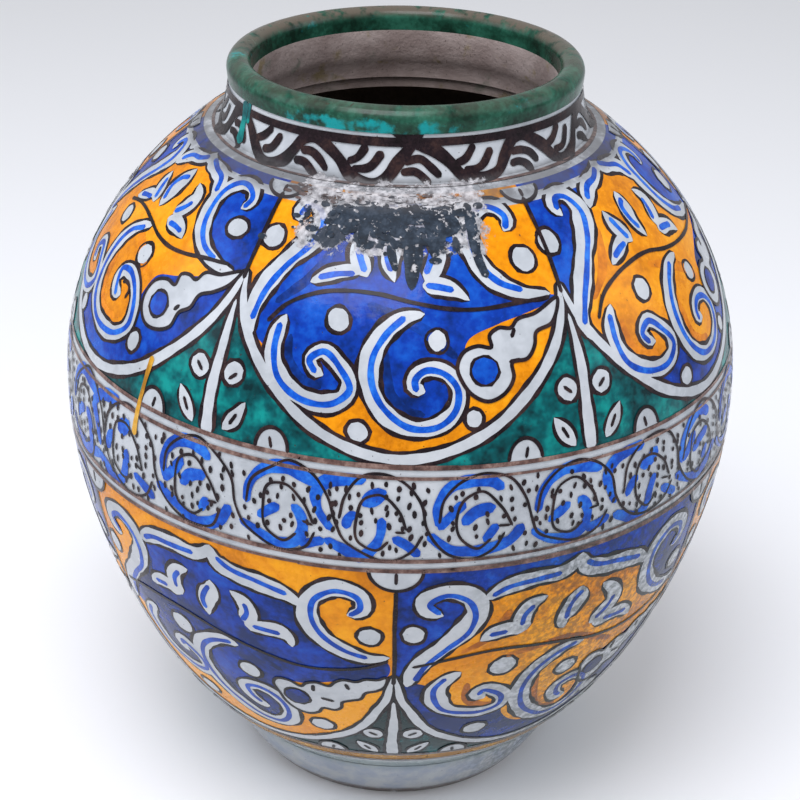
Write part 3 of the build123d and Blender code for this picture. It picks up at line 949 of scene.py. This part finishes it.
def add(nodes, kind, feeds=None, **settings):
    """Adds a node.  The settings are its own, and the feeds are values or links for its inputs."""
    node = nodes.new("ShaderNode" + kind)
    for name, value in settings.items():
        setattr(node, name, value)
    for name, value in (feeds or {}).items():
        if isinstance(value, bpy.types.NodeSocket):
            nodes.id_data.links.new(value, node.inputs[name])
        else:
            node.inputs[name].default_value = value
    return node


def beside(*values):
    """The nodes among which the first link of some values lies."""
    return next(v for v in values if isinstance(v, bpy.types.NodeSocket)).id_data.nodes


def math(operation, *values):
    return add(beside(*values), "Math", dict(enumerate(values)), operation=operation).outputs[0]


def plus(one, other):
    return math("ADD", one, other)


def times(first, *others):
    for other in others:
        first = math("MULTIPLY", first, other)
    return first


def mix(share, below, above):
    feeds = {0: share, 6: below, 7: above}
    return add(beside(share), "Mix", feeds, data_type="RGBA").outputs[2]


def stained(colour, share, amount, code):
    """A colour with a hex colour over it, as far as a share times an amount."""
    return mix(times(share, amount), colour, paint(code))


def ramp(value, start, end):
    """0 at the start, 1 at the end, smooth between."""
    return add(beside(value), "MapRange", {"Value": value, "From Min": start, "From Max": end},
               interpolation_type="SMOOTHSTEP").outputs[0]


def noise(place, size, detail, roughness=0.6, offset=None):
    """Patches of about a size in mm.  Offsets give patterns that don't follow one another."""
    feeds = {"Vector": place, "Scale": 1 / (size * MM), "Detail": detail, "Roughness": roughness}
    if offset is None:
        return add(beside(place), "TexNoise", feeds).outputs["Fac"]
    feeds["W"] = offset
    return add(beside(place), "TexNoise", feeds, noise_dimensions="4D").outputs["Fac"]


def speckle(place, size, low, high, detail, offset):
    """Soft-edged patches, from 0 to 1 between two levels of noise."""
    return ramp(noise(place, size, detail, offset=offset), low, high)


def crusted(place, x, y, z):
    """Where the shoulder's glaze has gone chalky, and where crust clings to it in drips."""
    across = ramp(math("ABSOLUTE", plus(x, 0.006)), 0.080, 0.042)
    region = times(ramp(z, 0.398, 0.418), ramp(y, -0.04, -0.08), ramp(z, 0.453, 0.437), across)
    inner = times(region, region, ramp(z, 0.436, 0.431))
    drawn = add(beside(place), "Mapping", {"Vector": place, "Scale": (1, 1, 0.5)}).outputs[0]
    chalk = plus(times(region, 0.56), noise(place, 10.526, 10, 0.74))
    crust = plus(times(inner, 0.42), noise(drawn, 13.158, 7, 0.66, 3.0))
    return ramp(chalk, 0.98, 1.03), ramp(crust, 0.9, 0.93)


def rim_worn(colour, place, x, y, z):
    """Turquoise where the rim's glaze ran thin at the front, and clay rubbed bare on top."""
    edge = times(ramp(y, -0.05, -0.1), ramp(x, 0.06, 0.0), ramp(z, 0.476, 0.470))
    thin = ramp(plus(noise(place, 16.667, 5), times(edge, 0.22)), 0.61, 0.76)
    colour = mix(thin, colour, paint("#0a9092"))
    top = times(ramp(z, 0.474, 0.4785), plus(ramp(y, -0.04, 0.06), 0.35))
    colour = stained(colour, times(top, speckle(place, 9, 0.36, 0.52, 6, 31)), 0.75, "#5d554b")
    return stained(colour, speckle(place, 5, 0.66, 0.69, 5, 35), 0.8, "#3a3128")


def shaded_and_soiled(colour, place, x, y, z, shade_and_soil):
    """A foot that is bluish, greenish in its angle from pooled glaze and painted shade, and brown at
    its sole, and painted shade in broad patches over the lower wall.
    """
    # painted shade: the lower wall and the foot are darkened, most towards the bottom
    low = math("MAXIMUM", times(ramp(z, 0.30, 0.05), 0.55), ramp(z, 0.056, 0.045))
    patches = times(speckle(place, 60, 0.2, 0.8, 3, 9), 0.4)
    mottle = times(ramp(z, 0.046, 0.036), speckle(place, 15, 0.38, 0.62, 6, 23))
    colour = stained(colour, mottle, 0.42, "#8295b8")
    # greenish in the angle above the foot: partly glaze pooled there, partly painted shade under the
    # body
    colour = stained(colour, times(ramp(z, 0.031, 0.043), ramp(z, 0.060, 0.052)), 0.5, "#5d8078")
    sole = times(ramp(z, 0.011, 0.004), speckle(place, 8, 0.25, 0.5, 6, 19))
    colour = stained(colour, sole, 0.9, "#553a2c")
    # the painted shade laid on, in broad uneven patches
    colour = stained(colour, times(plus(low, 0.06), plus(patches, 0.55)), shade_and_soil, "#36403c")
    # painted shade on the lower right of the front, broken into grains of 1 to 3 mm
    side = times(ramp(x, 0.02, 0.10), ramp(y, 0.08, -0.02), ramp(z, 0.29, 0.24))
    return stained(colour, times(side, speckle(place, 3.4, 0.36, 0.60, 7, 27)), 0.6, "#23302c")


def new_finish(name):
    """A new material, its nodes, its shader and the piece's own place."""
    material = bpy.data.materials.new(name)
    material.use_nodes = True
    nodes = material.node_tree.nodes
    return material, nodes, nodes["Principled BSDF"], add(nodes, "TexCoord").outputs["Object"]


def finished(nodes, colour, relief, depth):
    """Gives the shader its colour and a relief that is a depth in mm."""
    shader = nodes["Principled BSDF"]
    bump = add(nodes, "Bump", {"Height": relief, "Strength": 1.0, "Distance": depth * MM})
    nodes.id_data.links.new(colour, shader.inputs["Base Color"])
    nodes.id_data.links.new(bump.outputs[0], shader.inputs["Normal"])


def glaze(name, deep, full, thin, pool, pull, rough, shade_and_soil, wavy=0.5, sag_and_shade=0.3, flaked=True,
          rim=False):
    """A glaze fired over white: it pools dark and pulls thin, with pinholes and chips.

    deep, full and thin are its colours where it lies thick, even and thin, pool and pull
    are the mm between its pools and between its brush marks, sag_and_shade is how much
    darker it is on the lower wall (lighter with a minus), partly as glaze sunk there and
    partly as painted shade, and shade_and_soil is how strongly painted shade in broad
    patches darkens the lower wall and the foot.
    """
    material, nodes, shader, place = new_finish(name)
    shader.inputs["Specular IOR Level"].default_value = GLOSS
    x, y, z = add(nodes, "SeparateXYZ", {"Vector": place}).outputs
    seed = sum(map(ord, name)) % 50
    pulls = speckle(place, pull, 0.25, 0.75, 2, seed + 1)
    thick = plus(times(speckle(place, pool, 0.25, 0.75, 3, seed), 0.7), times(pulls, 0.3))
    # painted shade in part: the glaze counts as thicker, so darker, towards the lower wall (thinner
    # and lighter with a minus), partly as glaze sunk there
    thick = math("SUBTRACT", thick, times(ramp(z, 0.27, 0.12), sag_and_shade))
    scale = add(nodes, "ValToRGB", {"Fac": thick})
    stops = scale.color_ramp.elements
    stops[0].position, stops[0].color = 0.18, paint(deep)
    stops[1].position, stops[1].color = 0.86, paint(thin)
    stops.new(0.5).color = paint(full)
    colour = scale.outputs["Color"]
    if rim:
        colour = rim_worn(colour, place, x, y, z)
    colour = shaded_and_soiled(colour, place, x, y, z, shade_and_soil)
    # pinholes about 1 mm across, where the body's iron shows, and chips of 2 mm
    specks = speckle(place, 2.6, 0.705, 0.735, 2, 21)
    chips = speckle(place, 5.5, 0.735, 0.75, 4, 33)
    colour = stained(stained(colour, specks, 0.75, "#2b211d"), chips, 0.8, "#b8aa98")
    # dust and wax packed into the corner under the bead
    corner = ramp(math("ABSOLUTE", math("SUBTRACT", z, CORNER)), 0.008, 0.001)
    colour = stained(colour, times(corner, speckle(place, 12, 0.2, 0.55, 6, 15)), 0.75, "#4c4a4b")
    chalk, crust = crusted(place, x, y, z)
    if not flaked:
        chalk = speckle(place, 3.6, 0.57, 0.62, 9, 11)
        crust = times(chalk, 0)
    greys = mix(speckle(place, 4, 0.3, 0.7, 6, 40), paint("#6f6d70"), paint("#c6c4c6"))
    colour = stained(mix(times(chalk, 0.9), colour, greys), crust, 0.93, "#212b37")
    # worn places are dull, and greasy dirt dims the gloss in broad patches
    worn = math("MAXIMUM", math("MAXIMUM", chalk, crust), chips)
    greasy = times(speckle(place, 60, 0.4, 0.7, 4, 5), 0.12)
    dull = plus(plus(plus(times(worn, 0.5), times(pulls, 0.08)), greasy), rough)
    nodes.id_data.links.new(dull, shader.inputs["Roughness"])
    # a gentle swell over the throwing marks, and the pits of pinholes, chips and chalk
    swell = times(speckle(place, 16, 0.2, 0.8, 2, 2), wavy)
    relief = plus(swell, times(speckle(place, 2.0, 0.2, 0.8, 2, 3), 0.05))
    relief = math("SUBTRACT", relief, times(math("MAXIMUM", specks, chips), 0.25))
    relief = math("SUBTRACT", relief, times(chalk, 0.35))
    finished(nodes, colour, relief, SWELL)
    return material


def clay_inside(name):
    """Buff earthenware, thrown and left rough, washed inside with thin stained slip."""
    material, nodes, shader, place = new_finish(name)
    z = add(nodes, "SeparateXYZ", {"Vector": place}).outputs[2]
    tone = speckle(place, 30, 0.3, 0.7, 6, 1)
    pale = mix(tone, paint("#8c7b76"), paint("#b5a5a0"))
    pale = stained(pale, speckle(place, 18, 0.56, 0.68, 6, 7), 0.7, "#7a6a38")
    pale = stained(pale, speckle(place, 22, 0.6, 0.72, 5, 13), 0.6, "#4d6350")
    # painted shade: darker tones from the neck down, for the shade deep inside the jar
    dark = mix(tone, paint("#4a4038"), paint("#6b5e52"))
    colour = mix(ramp(z, 0.405, 0.445), dark, pale)
    colour = stained(colour, speckle(place, 1.6, 0.62, 0.68, 2, 17), 0.5, "#3a3029")
    shader.inputs["Roughness"].default_value = ROUGHNESS_INSIDE
    marks = add(nodes, "TexWave", {
        "Vector": place, "Scale": 1 / (MARK_STEP * MM) / WAVE_TURN, "Distortion": 1.5, "Detail": 2.0,
    }, wave_type="BANDS", bands_direction="Z").outputs["Fac"]
    relief = plus(times(marks, 0.12), times(speckle(place, 3, 0.2, 0.8, 4, 3), 0.4))
    finished(nodes, colour, relief, MARKS)
    return material


# Tin glaze: lead glaze clouded white with tin ash.  It looks like thick cream with
# a cold cast, very glossy, and small black specks of iron come up through it.
tin_white = glaze("tin_white_glaze", "#a7abb0", "#b6babf", "#c2c5c9", 60, 7, 0.14, 0.4, sag_and_shade=-0.3)
# Cobalt brushed on the raw white: it sinks in deep blue and breaks paler where thin.
cobalt = glaze("cobalt_glaze", "#02205a", "#04359a", "#0f55ba", 34, 5, 0.12, 0.3)
cobalt_deep = glaze("cobalt_glaze_pooled", "#021a4c", "#042a72", "#0940a0", 18, 4, 0.12, 0.3)
cobalt_thin = glaze("cobalt_glaze_thin", "#063a98", "#0c50bc", "#2a74d2", 12, 3, 0.13, 0.3)
# Iron and antimony yellow, which fires to egg-yolk orange and browner where it pools.
orange = glaze("iron_orange_glaze", "#c07004", "#de8802", "#f0a010", 40, 4, 0.17, 0.3, sag_and_shade=-0.3)
orange_deep = glaze("pooled_orange_glaze", "#a85a06", "#cf7606", "#e88c10", 18, 4, 0.17, 0.65)
# Ochre: the same yellow let down thin, as on the foot and in the runs.
ochre = glaze("thin_ochre_glaze", "#9a6a1c", "#c8922a", "#d9ad55", 20, 4, 0.2, 0.3)
# Copper green, which runs and pools almost black in the brush marks.
copper_green = glaze("copper_green_glaze", "#00262a", "#005659", "#0a8a84", 17, 7, 0.14, 0.5)
# Manganese brown drawn with a liner: nearly black, and purplish brown where it is thin.
manganese = glaze("manganese_outline_glaze", "#120b0e", "#20151a", "#382624", 14, 2, 0.2, 0.2)
manganese_thin = glaze("thin_manganese_glaze", "#45322f", "#694f49", "#937a70", 10, 2, 0.2, 0.3)
# Copper green on the rim, where it ran thick: bottle green broken with turquoise.
rim_green = glaze("rim_copper_glaze", "#12291f", "#1d4536", "#2c6350", 20, 3, 0.17, 0.2, rim=True)
# Crust: burnt tar and slip on the shoulder, dry and slate dark.
tar = glaze("slate_crust", "#161d27", "#202a36", "#38424f", 6, 1.4, 0.55, 0.1, 1.2, flaked=False)
bare_clay = clay_inside("washed_earthenware")

# Which glaze and which slot of the record a coat has, by how its name ends.
COLOURS = {ending: (finish, slot) for finish, slot, *endings in (
    (tin_white, "tin_glaze", "white_petals"),
    (cobalt, "cobalt_glaze", "blue_ground", "blue_palmettes", "blue_eyes"),
    (cobalt_deep, "cobalt_glaze", "pooled_blue"),
    (cobalt_thin, "cobalt_glaze", "blue_accents", "blue_sprays"),
    (orange, "orange_glaze", "orange_ground", "orange_palmettes"),
    (orange_deep, "orange_glaze", "pooled_orange"),
    (ochre, "orange_glaze", "orange_ring", "ochre_runs"),
    (copper_green, "green_glaze", "green_ground", "green_runs"),
    (manganese, "outline_glaze", "edges", "lines", "dashes", "strokes", "top_line"),
    (manganese_thin, "outline_glaze", "rings"),
    (tar, "outline_glaze", "crust"),
) for ending in endings}

build_clay(tin_white, bare_clay, rim_green)
paint_panels()
paint_band()
paint_rings()
paint_neck()
paint_accidents()

for coat, shape in coats.items():
    ending = next(end for end in sorted(COLOURS, key=len, reverse=True) if coat.endswith(end))
    finish, slot = COLOURS[ending]
    leans = []
    for vert in shape.verts:
        radius, lean = vert.co.xy.length, skin.lean_at(vert.co.z / MM)
        leans.append((vert.co.x / radius * lean.x, vert.co.y / radius * lean.x, lean.y))
    piece = piece_from(shape, coat, (finish,))
    piece.data.normals_split_custom_set_from_vertices(leans)

# ---------------------------------------------------------------------------
# Floor, light and camera
# ---------------------------------------------------------------------------

FLOOR_REACH = 6                             # m from the middle to the floor's edge
AIM = Vector((0, 0, 0.25))                  # m, where the lights point
CAMERA_PLACE = (0.0004, -1.0353, 0.7973)    # m
CAMERA_PITCH, CAMERA_ROLL = 61.93, 1.1      # degrees

floor_shape = bmesh.new()
bmesh.ops.create_grid(floor_shape, x_segments=1, y_segments=1, size=FLOOR_REACH)
floor_mesh = bpy.data.meshes.new("floor")
floor_shape.to_mesh(floor_mesh)
floor_shape.free()
floor = bpy.data.objects.new("floor", floor_mesh)
bpy.context.scene.collection.objects.link(floor)
# Matt paper: a pale, plain studio sheet.
paper = bpy.data.materials.new("matt_paper")
paper.use_nodes = True
paper_shader = paper.node_tree.nodes["Principled BSDF"]
paper_shader.inputs["Base Color"].default_value = paint("#f2f2f3")
paper_shader.inputs["Roughness"].default_value = 0.9
floor_mesh.materials.append(paper)

sky = bpy.data.worlds.new("studio")
sky.use_nodes = True
background = sky.node_tree.nodes["Background"]
background.inputs["Color"].default_value = paint("#f2f4f8")
background.inputs["Strength"].default_value = 0.6
bpy.context.scene.world = sky


def soft_light(name, watts, size, place, colour):
    """A broad square lamp, sizes in metres, turned to the jar."""
    light = bpy.data.lights.new(name, "AREA")
    light.energy, light.size, light.color = watts, size, paint(colour)[:3]
    lamp = bpy.data.objects.new(name, light)
    lamp.location = place
    lamp.rotation_euler = (AIM - lamp.location).to_track_quat("-Z", "Y").to_euler()
    bpy.context.scene.collection.objects.link(lamp)


soft_light("sky_above", 38, 1.2, (-0.3, -0.8, 2.1), "#f8f9ff")
soft_light("window_left", 11, 1.3, (-1.9, -0.3, 1.3), "#edf3ff")
soft_light("window_right", 10, 1.3, (1.9, -0.2, 1.2), "#edf3ff")

camera_data = bpy.data.cameras.new("camera")
camera_data.lens, camera_data.sensor_width = 80.47, 36
camera = bpy.data.objects.new("camera", camera_data)
pitch = Euler((radians(CAMERA_PITCH), 0, 0)).to_matrix()
roll = Euler((0, 0, radians(CAMERA_ROLL))).to_matrix()
camera.matrix_world = Matrix.Translation(CAMERA_PLACE) @ (pitch @ roll).to_4x4()
bpy.context.scene.collection.objects.link(camera)
bpy.context.scene.camera = camera
bpy.context.scene.view_settings.view_transform = "Standard"

bpy.context.view_layer.update()
